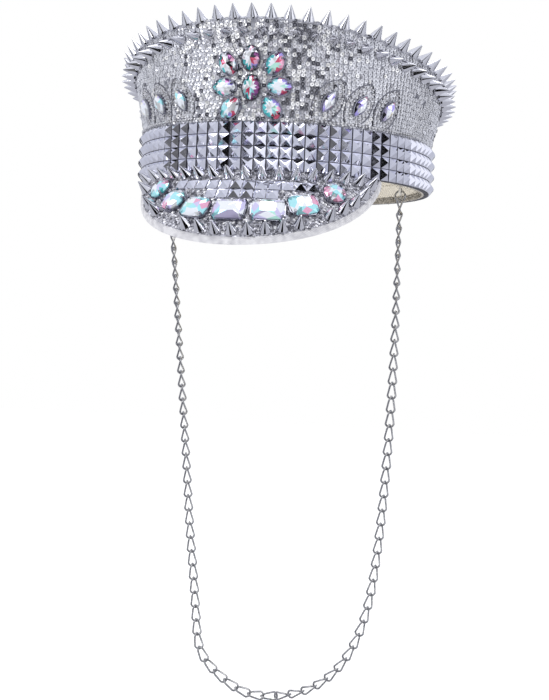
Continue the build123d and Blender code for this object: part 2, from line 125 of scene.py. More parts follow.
def paintFaces(piece, tints):
    layer = piece.data.color_attributes.new(name="tint", type="FLOAT_COLOR", domain="CORNER")
    counts = [len(face.vertices) for face in piece.data.polygons]
    colours = np.repeat(np.array([(*tint, 1.0) for tint in tints]), counts, axis=0)
    layer.data.foreach_set("color", colours.ravel())


def scatter(name, pattern, places, tints=None):
    # the pattern's own mesh, copied to every place, as one mesh
    shape = np.array([vertex.co for vertex in pattern.data.vertices])
    faces = [list(face.vertices) for face in pattern.data.polygons]
    points = []
    allFaces = []
    for place in places:
        grid = np.array(place)
        start = len(points) * len(shape)
        points.append(shape @ grid[:3, :3].T + grid[:3, 3])
        allFaces += [[start + corner for corner in face] for face in faces]
    faceTints = None
    if tints is not None:
        faceTints = [tint for tint in tints for face in faces]
    piece = meshPiece(name, np.concatenate(points), allFaces, faceTints)
    bpy.data.objects.remove(pattern)
    return piece


def seatMatrix(point, outward, along=None, turn=0.0):
    # local Z points outward, local X lies along
    up = Vector(outward).normalized()
    side = Vector(along) if along is not None else Vector((-up.y, up.x, 0.001))
    side = (side - up * side.dot(up)).normalized()
    grid = Matrix((side, up.cross(side), up)).transposed().to_4x4()
    return Matrix.Translation(point) @ grid @ Matrix.Rotation(turn, 4, "Z")


def surfaceOf(*names):
    # a tree to cast rays at, made from the CAD nodes' meshes
    points = []
    faces = []
    for name in names:
        mesh = nodes[name].data
        start = len(points)
        points += [vertex.co.copy() for vertex in mesh.vertices]
        faces += [[start + corner for corner in face.vertices] for face in mesh.polygons]
    return BVHTree.FromPolygons(points, faces)


def separateParts(name):
    # the separate solids of a CAD node, as arrays of points
    build = bmesh.new()
    build.from_mesh(nodes[name].data)
    bmesh.ops.remove_doubles(build, verts=build.verts, dist=0.001 * mm)
    waiting = set(build.verts)
    parts = []
    while waiting:
        front = [waiting.pop()]
        found = []
        while front:
            vertex = front.pop()
            found.append(tuple(vertex.co))
            for edge in vertex.link_edges:
                other = edge.other_vert(vertex)
                if other in waiting:
                    waiting.remove(other)
                    front.append(other)
        parts.append(np.array(found))
    build.free()
    return sorted(parts, key=lambda part: tuple(np.round(part.mean(axis=0), 4)))


def outwardAt(point):
    return Vector((point.x, point.y, 0)).normalized()


# ---- shared shader effects ----

def newNode(tree, kind, **settings):
    made = tree.nodes.new(kind)
    for name, value in settings.items():
        setattr(made, name, value)
    return made


def calculate(tree, operation, first, second=None):
    answer = newNode(tree, "ShaderNodeMath", operation=operation)
    for socket, value in zip(answer.inputs, (first, second)):
        if value is None:
            continue
        if isinstance(value, (int, float)):
            socket.default_value = value
        else:
            tree.links.new(value, socket)
    return answer.outputs[0]


def startGroup(name, inputs, outputs):
    tree = bpy.data.node_groups.new(name, "ShaderNodeTree")
    for label, kind, value in inputs:
        socket = tree.interface.new_socket(label, in_out="INPUT", socket_type=kind)
        if value is not None:
            socket.default_value = value
    for label, kind in outputs:
        tree.interface.new_socket(label, in_out="OUTPUT", socket_type=kind)
    return tree, newNode(tree, "NodeGroupInput"), newNode(tree, "NodeGroupOutput")


def buildWeave():
    # plain weave that runs round the cap: Height for a bump and for painted shade between the threads, Shade
    # for worn and dyed patches
    tree, given, result = startGroup(
        "weave",
        [("Vector", "NodeSocketVector", None), ("Radius", "NodeSocketFloat", 0.09),
         ("Threads", "NodeSocketFloat", 1200.0), ("Patch", "NodeSocketFloat", 60.0)],
        [("Height", "NodeSocketFloat"), ("Shade", "NodeSocketFloat")],
    )
    split = newNode(tree, "ShaderNodeSeparateXYZ")
    tree.links.new(given.outputs["Vector"], split.inputs[0])
    angle = calculate(tree, "ARCTAN2", split.outputs[0], split.outputs[1])
    around = calculate(tree, "MULTIPLY", angle, given.outputs["Radius"])
    warp = newNode(tree, "ShaderNodeTexNoise")
    warp.inputs["Scale"].default_value = 900
    tree.links.new(given.outputs["Vector"], warp.inputs["Vector"])
    waves = []
    for run in (around, split.outputs[2]):
        turns = calculate(tree, "MULTIPLY", run, given.outputs["Threads"])
        turns = calculate(tree, "MULTIPLY", turns, math.pi)
        turns = calculate(tree, "ADD", turns, warp.outputs["Fac"])
        waves.append(calculate(tree, "SINE", turns))
    crossing = calculate(tree, "MULTIPLY", waves[0], waves[1])
    height = calculate(tree, "MULTIPLY", crossing, 0.5)
    tree.links.new(calculate(tree, "ADD", height, 0.5), result.inputs["Height"])
    patch = newNode(tree, "ShaderNodeTexNoise")
    patch.inputs["Detail"].default_value = 5
    tree.links.new(given.outputs["Vector"], patch.inputs["Vector"])
    tree.links.new(given.outputs["Patch"], patch.inputs["Scale"])
    tree.links.new(patch.outputs["Fac"], result.inputs["Shade"])
    return tree


def buildScuffs():
    # handling marks on metal and glass: a Roughness that wanders, and its Height
    tree, given, result = startGroup(
        "scuffs",
        [("Vector", "NodeSocketVector", None), ("Scale", "NodeSocketFloat", 400.0),
         ("Smooth", "NodeSocketFloat", 0.04), ("Rough", "NodeSocketFloat", 0.14)],
        [("Roughness", "NodeSocketFloat"), ("Height", "NodeSocketFloat")],
    )
    marks = newNode(tree, "ShaderNodeTexNoise")
    marks.inputs["Detail"].default_value = 6
    marks.inputs["Roughness"].default_value = 0.65
    tree.links.new(given.outputs["Vector"], marks.inputs["Vector"])
    tree.links.new(given.outputs["Scale"], marks.inputs["Scale"])
    spread = newNode(tree, "ShaderNodeMapRange")
    spread.inputs["From Min"].default_value = 0.38
    spread.inputs["From Max"].default_value = 0.68
    tree.links.new(marks.outputs["Fac"], spread.inputs["Value"])
    tree.links.new(given.outputs["Smooth"], spread.inputs["To Min"])
    tree.links.new(given.outputs["Rough"], spread.inputs["To Max"])
    tree.links.new(spread.outputs["Result"], result.inputs["Roughness"])
    tree.links.new(marks.outputs["Fac"], result.inputs["Height"])
    return tree


def buildGlitter():
    # tiny flakes, each with its own tone and tilt
    tree, given, result = startGroup(
        "glitter",
        [("Vector", "NodeSocketVector", None), ("Scale", "NodeSocketFloat", 1400.0),
         ("Tilt", "NodeSocketFloat", 0.5)],
        [("Tone", "NodeSocketFloat"), ("Edge", "NodeSocketFloat"), ("Normal", "NodeSocketVector")],
    )
    cells = newNode(tree, "ShaderNodeTexVoronoi")
    tree.links.new(given.outputs["Vector"], cells.inputs["Vector"])
    tree.links.new(given.outputs["Scale"], cells.inputs["Scale"])
    split = newNode(tree, "ShaderNodeSeparateColor")
    tree.links.new(cells.outputs["Color"], split.inputs[0])
    tree.links.new(split.outputs[0], result.inputs["Tone"])
    tree.links.new(cells.outputs["Distance"], result.inputs["Edge"])
    centred = newNode(tree, "ShaderNodeVectorMath", operation="SUBTRACT")
    centred.inputs[1].default_value = (0.5, 0.5, 0.5)
    tree.links.new(cells.outputs["Color"], centred.inputs[0])
    scaled = newNode(tree, "ShaderNodeVectorMath", operation="SCALE")
    tree.links.new(centred.outputs[0], scaled.inputs[0])
    tree.links.new(given.outputs["Tilt"], scaled.inputs["Scale"])
    surface = newNode(tree, "ShaderNodeNewGeometry")
    added = newNode(tree, "ShaderNodeVectorMath", operation="ADD")
    tree.links.new(surface.outputs["Normal"], added.inputs[0])
    tree.links.new(scaled.outputs[0], added.inputs[1])
    unit = newNode(tree, "ShaderNodeVectorMath", operation="NORMALIZE")
    tree.links.new(added.outputs[0], unit.inputs[0])
    tree.links.new(unit.outputs[0], result.inputs["Normal"])
    return tree


weaveEffect = buildWeave()
scuffEffect = buildScuffs()
glitterEffect = buildGlitter()


# ---- materials ----

def startMaterial(name, settings):
    material = bpy.data.materials.new(name)
    material.use_nodes = True
    tree = material.node_tree
    shader = tree.nodes["Principled BSDF"]
    for socket, value in settings.items():
        shader.inputs[socket].default_value = value
    place = newNode(tree, "ShaderNodeTexCoord")
    return material, tree, shader, place.outputs["Object"]


def addEffect(tree, effect, vector, values):
    made = newNode(tree, "ShaderNodeGroup", node_tree=effect)
    tree.links.new(vector, made.inputs["Vector"])
    for label, value in values.items():
        made.inputs[label].default_value = value
    return made


def addRamp(tree, factor, stops):
    ramp = newNode(tree, "ShaderNodeValToRGB")
    while len(ramp.color_ramp.elements) < len(stops):
        ramp.color_ramp.elements.new(0.5)
    for element, (position, colour) in zip(ramp.color_ramp.elements, stops):
        element.position = position
        element.color = (*colour, 1.0)
    tree.links.new(factor, ramp.inputs[0])
    return ramp.outputs[0]


def addBump(tree, shader, height, strength, distance):
    bump = newNode(tree, "ShaderNodeBump")
    bump.inputs["Strength"].default_value = strength
    bump.inputs["Distance"].default_value = distance
    tree.links.new(height, bump.inputs["Height"])
    tree.links.new(bump.outputs[0], shader.inputs["Normal"])


def polishedMetal(name, look):
    material, tree, shader, place = startMaterial(name, {"Metallic": look.get("metallic", 1.0)})
    marks = addEffect(tree, scuffEffect, place, look["scuffs"])
    tree.links.new(marks.outputs["Roughness"], shader.inputs["Roughness"])
    tone = addRamp(tree, marks.outputs["Height"], [(0.3, look["dark"]), (0.7, look["light"])])
    tree.links.new(tone, shader.inputs["Base Color"])
    addBump(tree, shader, marks.outputs["Height"], look["bump"], 0.05 * mm)
    return material


def wovenCloth(name, look):
    material, tree, shader, place = startMaterial(
        name, {"Roughness": 0.85, "Sheen Weight": look["sheen"], "Sheen Roughness": 0.5}
    )
    threads = addEffect(tree, weaveEffect, place, look["weave"])
    tone = addRamp(tree, threads.outputs["Shade"], [(0.32, look["dark"]), (0.68, look["light"])])
    # painted shade between the threads: where the weave's Height is low the colour is multiplied darker, by
    # the look's depth
    shadow = newNode(tree, "ShaderNodeMix", data_type="RGBA", blend_type="MULTIPLY")
    shadow.inputs["Factor"].default_value = look["depth"]
    threadShade = addRamp(tree, threads.outputs["Height"], [(0.15, (0.55, 0.55, 0.55)), (0.7, (1, 1, 1))])
    tree.links.new(tone, shadow.inputs["A"])
    tree.links.new(threadShade, shadow.inputs["B"])
    tree.links.new(shadow.outputs["Result"], shader.inputs["Base Color"])
    addBump(tree, shader, threads.outputs["Height"], 0.6, look["rise"])
    return material


def tintedPieces(name, settings, scuffs):
    # colour comes from the piece's own tint attribute
    material, tree, shader, place = startMaterial(name, settings)
    tint = newNode(tree, "ShaderNodeAttribute", attribute_name="tint")
    tree.links.new(tint.outputs["Color"], shader.inputs["Base Color"])
    marks = addEffect(tree, scuffEffect, place, scuffs)
    tree.links.new(marks.outputs["Roughness"], shader.inputs["Roughness"])
    return material


def glitterCloth(name, look):
    material, tree, shader, place = startMaterial(name, {"Roughness": look["roughness"]})
    flakes = addEffect(tree, glitterEffect, place, look["flakes"])
    tone = addRamp(tree, flakes.outputs["Tone"], look["tones"])
    tree.links.new(tone, shader.inputs["Base Color"])
    shine = addRamp(tree, flakes.outputs["Tone"], [(0.45, (0, 0, 0)), (0.55, (look["shine"],) * 3)])
    tree.links.new(shine, shader.inputs["Metallic"])
    tree.links.new(flakes.outputs["Normal"], shader.inputs["Normal"])
    return material


metalLooks = {
    "spikeMetal": {"light": (0.88, 0.88, 0.91), "dark": (0.74, 0.74, 0.78), "bump": 0.05,
                   "scuffs": {"Scale": 500.0, "Smooth": 0.03, "Rough": 0.10}},
    "studMetal": {"light": (0.84, 0.84, 0.92), "dark": (0.70, 0.71, 0.80), "bump": 0.04,
                  "scuffs": {"Scale": 260.0, "Smooth": 0.05, "Rough": 0.13}},
    "cupMetal": {"light": (0.46, 0.46, 0.52), "dark": (0.22, 0.22, 0.27), "bump": 0.08,
                 "scuffs": {"Scale": 700.0, "Smooth": 0.12, "Rough": 0.30}},
    "chainMetal": {"light": (0.60, 0.60, 0.60), "dark": (0.38, 0.38, 0.39), "bump": 0.10,
                   "scuffs": {"Scale": 650.0, "Smooth": 0.16, "Rough": 0.36}},
    "eyeletMetal": {"light": (0.72, 0.71, 0.68), "dark": (0.50, 0.49, 0.46), "bump": 0.08,
                    "scuffs": {"Scale": 800.0, "Smooth": 0.15, "Rough": 0.35}},
    "wireMetal": {"light": (0.34, 0.34, 0.38), "dark": (0.16, 0.16, 0.19), "bump": 0.15,
                  "scuffs": {"Scale": 900.0, "Smooth": 0.2, "Rough": 0.4}},
}
metals = {name: polishedMetal(name, look) for name, look in metalLooks.items()}

# depth is how strongly painted shade darkens the gaps between the threads
clothLooks = {
    "creamLining": {"light": (0.86, 0.82, 0.73), "dark": (0.76, 0.72, 0.63), "sheen": 0.25,
                    "depth": 0.45, "rise": 0.12 * mm, "weave": {"Threads": 1500.0, "Patch": 45.0}},
    "creamSweatband": {"light": (0.88, 0.84, 0.76), "dark": (0.78, 0.74, 0.66), "sheen": 0.2,
                       "depth": 0.5, "rise": 0.18 * mm, "weave": {"Threads": 900.0, "Patch": 70.0}},
    "roughHem": {"light": (0.50, 0.47, 0.42), "dark": (0.24, 0.22, 0.19), "sheen": 0.1,
                 "depth": 0.8, "rise": 0.35 * mm, "weave": {"Threads": 700.0, "Patch": 420.0}},
    "boardCloth": {"light": (0.09, 0.09, 0.11), "dark": (0.05, 0.05, 0.065), "sheen": 0.0,
                   "depth": 0.5, "rise": 0.1 * mm, "weave": {"Threads": 1400.0, "Patch": 90.0}},
    "visorUnder": {"light": (0.64, 0.60, 0.52), "dark": (0.53, 0.49, 0.42), "sheen": 0.2,
                   "depth": 0.5, "rise": 0.15 * mm, "weave": {"Threads": 1100.0, "Patch": 60.0}},
    "silverBraid": {"light": (0.76, 0.76, 0.79), "dark": (0.50, 0.50, 0.54), "sheen": 0.1,
                    "depth": 0.45, "rise": 0.2 * mm, "weave": {"Threads": 1600.0, "Patch": 300.0}},
    "strapLeather": {"light": (0.70, 0.68, 0.64), "dark": (0.58, 0.56, 0.52), "sheen": 0.1,
                     "depth": 0.4, "rise": 0.1 * mm, "weave": {"Threads": 1300.0, "Patch": 220.0}},
}
cloths = {name: wovenCloth(name, look) for name, look in clothLooks.items()}

sequinCloth = glitterCloth("sequinCloth", {
    "roughness": 0.4, "shine": 0.75,
    "flakes": {"Scale": 1500.0, "Tilt": 0.7},
    "tones": [(0.0, (0.26, 0.26, 0.30)), (0.3, (0.36, 0.37, 0.42)), (0.8, (0.54, 0.55, 0.61))],
})
visorCloth = glitterCloth("visorCloth", {
    "roughness": 0.35, "shine": 0.9,
    "flakes": {"Scale": 1000.0, "Tilt": 0.9},
    "tones": [(0.0, (0.16, 0.16, 0.19)), (0.4, (0.42, 0.42, 0.47)), (0.85, (0.72, 0.72, 0.78))],
})
sequinFilm = tintedPieces("sequinFilm", {"Metallic": 0.5},
                          {"Scale": 900.0, "Smooth": 0.14, "Rough": 0.28})
crystalGlass = tintedPieces("crystalGlass", {"Metallic": 0.55, "Coat Weight": 1.0, "Coat Roughness": 0.02},
                            {"Scale": 300.0, "Smooth": 0.02, "Rough": 0.06})
rhinestoneGlass = polishedMetal("rhinestoneGlass", {
    "light": (1.0, 1.0, 1.0), "dark": (0.28, 0.28, 0.32), "bump": 0.3, "metallic": 0.75,
    "scuffs": {"Scale": 1100.0, "Smooth": 0.05, "Rough": 0.2}})
print("materials ready")


# ---- stage, lights and camera ----

stageLook = {"floorSize": 8.0, "floor": (0.94, 0.94, 0.94), "glow": 0.22}
bpy.ops.mesh.primitive_plane_add(size=stageLook["floorSize"], location=(0, 0, floorLevel))
floor = bpy.context.object
startEditing(floor)
bpy.ops.mesh.select_all(action="SELECT")
bpy.ops.mesh.subdivide(number_cuts=3)
bpy.ops.object.mode_set(mode="OBJECT")
floorPaint, floorTree, floorShader, floorPlace = startMaterial("floorPaint", {"Roughness": 0.9})
floorMarks = addEffect(floorTree, scuffEffect, floorPlace, {"Scale": 6.0, "Smooth": 0.85, "Rough": 0.95})
floorTree.links.new(floorMarks.outputs["Roughness"], floorShader.inputs["Roughness"])
floorShader.inputs["Base Color"].default_value = (*stageLook["floor"], 1.0)
floorShader.inputs["Emission Color"].default_value = (1.0, 1.0, 1.0, 1.0)
floorShader.inputs["Emission Strength"].default_value = stageLook["glow"]
floor.name = "floor"
floor.data.materials.append(floorPaint)
floor.visible_glossy = False

cameraLook = {"turn": 13.15, "roll": 2.6, "distance": 1.030, "right": -0.0073, "up": -0.1004, "lens": 84.75}
turn = math.radians(cameraLook["turn"])
roll = math.radians(cameraLook["roll"])
level = Vector((math.cos(turn), math.sin(turn), 0))
forward = Vector((-math.sin(turn), math.cos(turn), 0))
upright = Vector((0, 0, 1))
right = level * math.cos(roll) + upright * math.sin(roll)
top = upright * math.cos(roll) - level * math.sin(roll)
spot = right * cameraLook["right"] + top * cameraLook["up"] - forward * cameraLook["distance"]
bpy.ops.object.camera_add()
camera = bpy.context.object
camera.matrix_world = Matrix.Translation(spot) @ Matrix((right, top, -forward)).transposed().to_4x4()
camera.data.lens = cameraLook["lens"]
camera.data.sensor_width = 36
bpy.context.scene.camera = camera

# each light: where it stands as turn and height seen from the camera's side, its size and strength
lights = {
    "keySoftbox": {"turn": -52, "height": 0.55, "away": 1.4, "size": 0.60, "power": 3.6},
    "fillSoftbox": {"turn": 62, "height": 0.30, "away": 1.5, "size": 0.95, "power": 1.0},
    "topSoftbox": {"turn": 0, "height": 1.50, "away": 0.35, "size": 0.7, "power": 4.0},
    "rearSoftbox": {"turn": 165, "height": 0.9, "away": 1.2, "size": 0.7, "power": 3.0},
}


def standAt(look):
    away = math.radians(look["turn"])
    flat = -forward * math.cos(away) + level * math.sin(away)
    return flat * look["away"] + Vector((0, 0, look["height"]))


for name, look in lights.items():
    place = standAt(look)
    bpy.ops.object.light_add(type="AREA", location=place)
    lamp = bpy.context.object
    lamp.name = name
    lamp.rotation_euler = (Vector((0, 0, 0.03)) - place).to_track_quat("-Z", "Y").to_euler()
    lamp.data.shape = "RECTANGLE"
    lamp.data.size = look["size"]
    lamp.data.size_y = look["size"] * 0.8
    lamp.data.energy = look["power"]

# black cards that only polished things see, for the dark streaks in them
cards = {
    "rightFrontCard": {"turn": 18.2, "height": 0.05, "away": 0.474, "wide": 0.11, "tall": 0.3, "tone": 0.004},
    "leftFrontCard": {"turn": -27, "height": 0.10, "away": 1.5, "wide": 0.58, "tall": 1.9, "tone": 0.13},
    "underCard": {"turn": -6, "height": -0.24, "away": 0.26, "wide": 0.15, "tall": 0.2, "tone": 0.004},
    "lowCard": {"turn": 0, "height": -0.28, "away": 0.72, "wide": 1.0, "tall": 0.35, "tone": 0.004},
    "leftCard": {"turn": -100, "height": 0.2, "away": 1.3, "wide": 0.35, "tall": 1.3, "tone": 0.004},
    "rightCard": {"turn": 108, "height": 0.2, "away": 1.3, "wide": 0.40, "tall": 1.3, "tone": 0.004},
    "rearCard": {"turn": 185, "height": 0.25, "away": 1.4, "wide": 0.5, "tall": 1.3, "tone": 0.004},
}
for name, look in cards.items():
    place = standAt(look)
    bpy.ops.mesh.primitive_plane_add(size=1, location=place)
    card = bpy.context.object
    card.name = name
    card.rotation_euler = (Vector((0, 0, 0.03)) - place).to_track_quat("Z", "Y").to_euler()
    card.scale = (look["wide"], look["tall"], 1)
    paint, tree, shader, _ = startMaterial(name + "Paint", {"Specular IOR Level": 0.0})
    shader.inputs["Base Color"].default_value = (look["tone"], look["tone"], look["tone"], 1.0)
    card.data.materials.append(paint)
    card.visible_camera = False
    card.visible_diffuse = False
    card.visible_shadow = False
    card.visible_transmission = False

worldLook = {"white": 1.0, "shade": 0.98, "sky": (0.80, 0.82, 0.90), "horizon": (0.64, 0.66, 0.73),
             "low": (0.52, 0.53, 0.59)}
world = bpy.data.worlds.new("studio")
bpy.context.scene.world = world
world.use_nodes = True
sky = world.node_tree
backdrop = sky.nodes["Background"]
backdrop.inputs["Color"].default_value = (1, 1, 1, 1)
backdrop.inputs["Strength"].default_value = worldLook["white"]
mirrored = newNode(sky, "ShaderNodeBackground")
direction = newNode(sky, "ShaderNodeTexCoord")
skySplit = newNode(sky, "ShaderNodeSeparateXYZ")
sky.links.new(direction.outputs["Generated"], skySplit.inputs[0])
skyHeight = calculate(sky, "MULTIPLY", calculate(sky, "ADD", skySplit.outputs[2], 1.0), 0.5)
skyStops = [(0.3, worldLook["low"]), (0.5, worldLook["horizon"]), (0.8, worldLook["sky"])]
skyTone = addRamp(sky, skyHeight, skyStops)
sky.links.new(skyTone, mirrored.inputs["Color"])
rays = newNode(sky, "ShaderNodeLightPath")
soft = newNode(sky, "ShaderNodeBackground")
soft.inputs["Color"].default_value = (0.98, 0.98, 1.0, 1)
soft.inputs["Strength"].default_value = worldLook["shade"]
seen = newNode(sky, "ShaderNodeMixShader")
sky.links.new(rays.outputs["Is Camera Ray"], seen.inputs[0])
sky.links.new(soft.outputs[0], seen.inputs[1])
sky.links.new(backdrop.outputs[0], seen.inputs[2])
choice = newNode(sky, "ShaderNodeMixShader")
sky.links.new(rays.outputs["Is Glossy Ray"], choice.inputs[0])
sky.links.new(seen.outputs[0], choice.inputs[1])
sky.links.new(mirrored.outputs[0], choice.inputs[2])
sky.links.new(choice.outputs[0], sky.nodes["World Output"].inputs["Surface"])
bpy.context.scene.view_settings.view_transform = "Standard"
print("stage, lights and camera ready")


# ---- finishes on the CAD pieces ----

finishes = {
    "band_cover": cloths["boardCloth"],
    "band_core": cloths["boardCloth"],
    "sweatband": cloths["creamSweatband"],
    "hem_tape": cloths["roughHem"],
    "crown_side_panel": sequinCloth,
    "crown_top_panel": sequinCloth,
    "crown_edge_hoop": metals["chainMetal"],
    "crown_front_stay": cloths["boardCloth"],
    "crown_side_lining": cloths["creamLining"],
    "crown_top_lining": cloths["creamLining"],
    "crown_upper_spikes": metals["spikeMetal"],
    "crown_lower_spikes": metals["spikeMetal"],
    "visor_cover": visorCloth,
    "visor_board": cloths["boardCloth"],
    "visor_underlining": cloths["visorUnder"],
    "visor_binding": cloths["silverBraid"],
    "visor_crystal_cups": metals["cupMetal"],
    "visor_rim_spikes": metals["spikeMetal"],
    "visor_seam_spikes": metals["spikeMetal"],
    "visor_studs": metals["studMetal"],
    "badge_cups": metals["cupMetal"],
}
for row in range(1, 5):
    finishes[f"band_studs_row_{row}"] = metals["studMetal"]
for side in ("left", "right"):
    finishes[f"{side}_motif_cups"] = metals["cupMetal"]
    finishes[f"{side}_motif_rhinestones"] = rhinestoneGlass
    finishes[f"{side}_strap"] = cloths["strapLeather"]
    finishes[f"{side}_strap_eyelet"] = metals["eyeletMetal"]
    finishes[f"{side}_jump_ring"] = metals["chainMetal"]
for name, material in finishes.items():
    for holder in nodes[name].material_slots:
        holder.material = material
print("finishes on", len(finishes), "nodes")


# ---- sequins on the crown and the visor ----

crownSkin = surfaceOf("crown_side_panel", "crown_top_panel")
visorSkin = surfaceOf("visor_cover")
crownBox = [Vector(corner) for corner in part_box("crown_side_panel")]
topBox = [Vector(corner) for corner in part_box("crown_top_panel")]
visorBox = [Vector(corner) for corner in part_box("visor_cover")]
middle = (topBox[0] + topBox[1]) / 2

sequins = {
    "radius": 1.28 * mm, "hole": 0.40 * mm, "dish": 0.16 * mm, "sides": 10,
    "rowRise": 2.30 * mm, "spacing": 2.72 * mm, "lift": 0.30 * mm,
    "tilt": 4.0, "sparkTilt": 15.0, "loose": 26.0, "looseShare": 0.05, "sparkLoose": 0.25, "seed": 4,
    "tones": [(0.68, 0.69, 0.74), (0.74, 0.75, 0.80), (0.80, 0.81, 0.86)],
    # painted glints: the lively sequins' tones, white and black, stand for reflections in the sequins
    "paintedGlintTones": [(0.62, 0.62, 0.67), (0.80, 0.80, 0.85), (1.0, 1.0, 1.0), (0.08, 0.08, 0.10)],
    "paintedGlintShares": [0.15, 0.20, 0.50, 0.15], "sparkTurn": 4, "sparkSpread": 27.0, "wander": 0.38 * mm,
    # painted shade: a dark tint on a share of the sequins beside the badge, with no turn of the sequin
    "paintedShadeTurn": 12.0, "paintedShadeSpread": 9.0, "paintedShadeShare": 0.26, "paintedShadeTone": (0.13, 0.13, 0.15),
}
# on the visor nearly every spangle is lively, so nearly all get a painted glint tone, from dark to near white
spangles = {**sequins, "radius": 0.85 * mm, "hole": 0.25 * mm, "sides": 8, "spacing": 1.75 * mm,
            "lift": 0.25 * mm, "wander": 0.25 * mm, "paintedShadeShare": 0.0, "sparkTilt": 18.0,
            "sparkLoose": 0.35, "seed": 9, "sparkSpread": 400.0,
            "paintedGlintTones": [(0.10, 0.10, 0.12), (0.40, 0.40, 0.44), (0.66, 0.66, 0.70), (0.94, 0.94, 0.96)],
            "paintedGlintShares": [0.30, 0.30, 0.24, 0.16]}


def oneSequin(look):
    bpy.ops.mesh.primitive_circle_add(vertices=look["sides"], radius=look["radius"], fill_type="NOTHING")
    sequin = bpy.context.object
    startEditing(sequin)
    bpy.ops.mesh.select_all(action="SELECT")
    inward = look["hole"] / look["radius"]
    bpy.ops.mesh.extrude_region_move(TRANSFORM_OT_translate={"value": (0, 0, -look["dish"])})
    bpy.ops.transform.resize(value=(inward, inward, 1), center_override=(0, 0, 0))
    bpy.ops.mesh.select_all(action="SELECT")
    bpy.ops.mesh.normals_make_consistent(inside=False)
    bpy.ops.object.mode_set(mode="OBJECT")
    return sequin


def sewOn(name, seats, look):
    # every sequin lies on the cloth, a little tilted, and a few hang loose
    dice = random.Random(look["seed"])
    places = []
    tints = []
    for point, outward in seats:
        # in the middle of the front they tilt more and hang loose more often, and many get a painted glint: a
        # white, grey or black tint that stands for a reflection
        aside = math.degrees(math.atan2(point[0], -point[1])) - look["sparkTurn"]
        spark = math.exp(-((aside / look["sparkSpread"]) ** 2))
        lively = dice.random() < spark
        loose = dice.random() < look["looseShare"] + (look["sparkLoose"] - look["looseShare"]) * spark
        tilt = look["loose"] if loose else look["sparkTilt"] if lively else look["tilt"]
        tilt = math.radians(dice.gauss(0, tilt))
        lift = look["lift"] + look["radius"] * abs(math.sin(tilt)) * 0.8
        place = seatMatrix(Vector(point) + Vector(outward) * lift, outward)
        wander = Vector((dice.uniform(-1, 1), dice.uniform(-1, 1), 0)) * look["wander"]
        turned = Matrix.Rotation(dice.uniform(0, math.tau), 4, "Z") @ Matrix.Rotation(tilt, 4, "X")
        places.append(place @ Matrix.Translation(wander) @ turned)
        # beside the badge many of them get painted shade: a dark tint, the sequin itself is not turned
        paintedShadeChance = look["paintedShadeShare"] * math.exp(-(((aside - look["paintedShadeTurn"]) / look["paintedShadeSpread"]) ** 2))
        if dice.random() < paintedShadeChance:
            tints.append(look["paintedShadeTone"])
        elif lively:
            tints.append(dice.choices(look["paintedGlintTones"], look["paintedGlintShares"])[0])
        else:
            tints.append(dice.choice(look["tones"]))
    piece = scatter(name, oneSequin(look), places, tints)
    return finishPiece(piece, name, sequinFilm)


def wallHit(angle, height):
    # the crown's wall at one angle from the front and one height, or nothing
    way = Vector((math.sin(angle), -math.cos(angle), 0))
    start = Vector((middle.x, middle.y, height)) + way * 0.2
    point, outward, _, _ = crownSkin.ray_cast(start, -way, 0.2)
    if point is None or outward.z > 0.5:
        return None
    return point, outward


def wallSeats(look):
    seats = []
    rows = int((topBox[1].z - crownBox[0].z) / look["rowRise"])
    for row in range(rows):
        height = crownBox[0].z + (row + 0.6) * look["rowRise"]
        steps = 240
        hits = [wallHit(math.tau * step / steps, height) for step in range(steps)]
        run = 0.0
        for step in range(steps):
            here, after = hits[step], hits[(step + 1) % steps]
            if here is None or after is None:
                run = 0.0
                continue
            run += (after[0] - here[0]).length
            while run >= look["spacing"]:
                run -= look["spacing"]
                share = 1 - run / (after[0] - here[0]).length
                seats.append((here[0].lerp(after[0], share), here[1].lerp(after[1], share).normalized()))
    return seats


def flatSeats(skin, box, spacing, steepest):
    # staggered rows over a surface that faces up
    seats = []
    rise = spacing * 0.87
    for row in range(int((box[1].y - box[0].y) / rise)):
        shift = spacing / 2 if row % 2 else 0
        for column in range(int((box[1].x - box[0].x) / spacing)):
            start = Vector((box[0].x + shift + column * spacing, box[0].y + row * rise, box[1].z + 0.05))
            point, outward, _, _ = skin.ray_cast(start, Vector((0, 0, -1)), 0.4)
            if point is not None and outward.z > steepest:
                seats.append((point, outward))
    return seats


wall = wallSeats(sequins)
frontWall = [seat for seat in wall if seat[0].y < 0]
rearWall = [seat for seat in wall if seat[0].y >= 0]
sewOn("crown_front_sequins", frontWall, sequins)
sewOn("crown_rear_sequins", rearWall, {**sequins, "seed": 5})
roof = flatSeats(crownSkin, topBox, sequins["spacing"], 0.5)
sewOn("crown_roof_sequins", roof, {**sequins, "seed": 6, "paintedShadeShare": 0.0, "sparkSpread": 1.0})
sewOn("visor_spangles", flatSeats(visorSkin, visorBox, spangles["spacing"], 0.3), spangles)
print("sequins sewn on,", len(wall), "on the wall,", len(roof), "on the roof")


# ---- rolled edge between the two rows of spikes ----

rimRoll = {"radius": 1.3 * mm, "sides": 10, "steps": 180, "drop": 0.7 * mm}


def rimPoint(angle):
    # the roof's outermost point at one angle, closed in on by halves
    way = Vector((math.sin(angle), -math.cos(angle), 0))
    near, far = 0.05, 0.2
    found = None
    for _ in range(16):
        reach = (near + far) / 2
        start = Vector((middle.x, middle.y, topBox[1].z + 0.05)) + way * reach
        point, outward, _, _ = crownSkin.ray_cast(start, Vector((0, 0, -1)), 0.4)
        if point is not None and outward.z > 0.5:
            near, found = reach, point
        else:
            far = reach
    return found


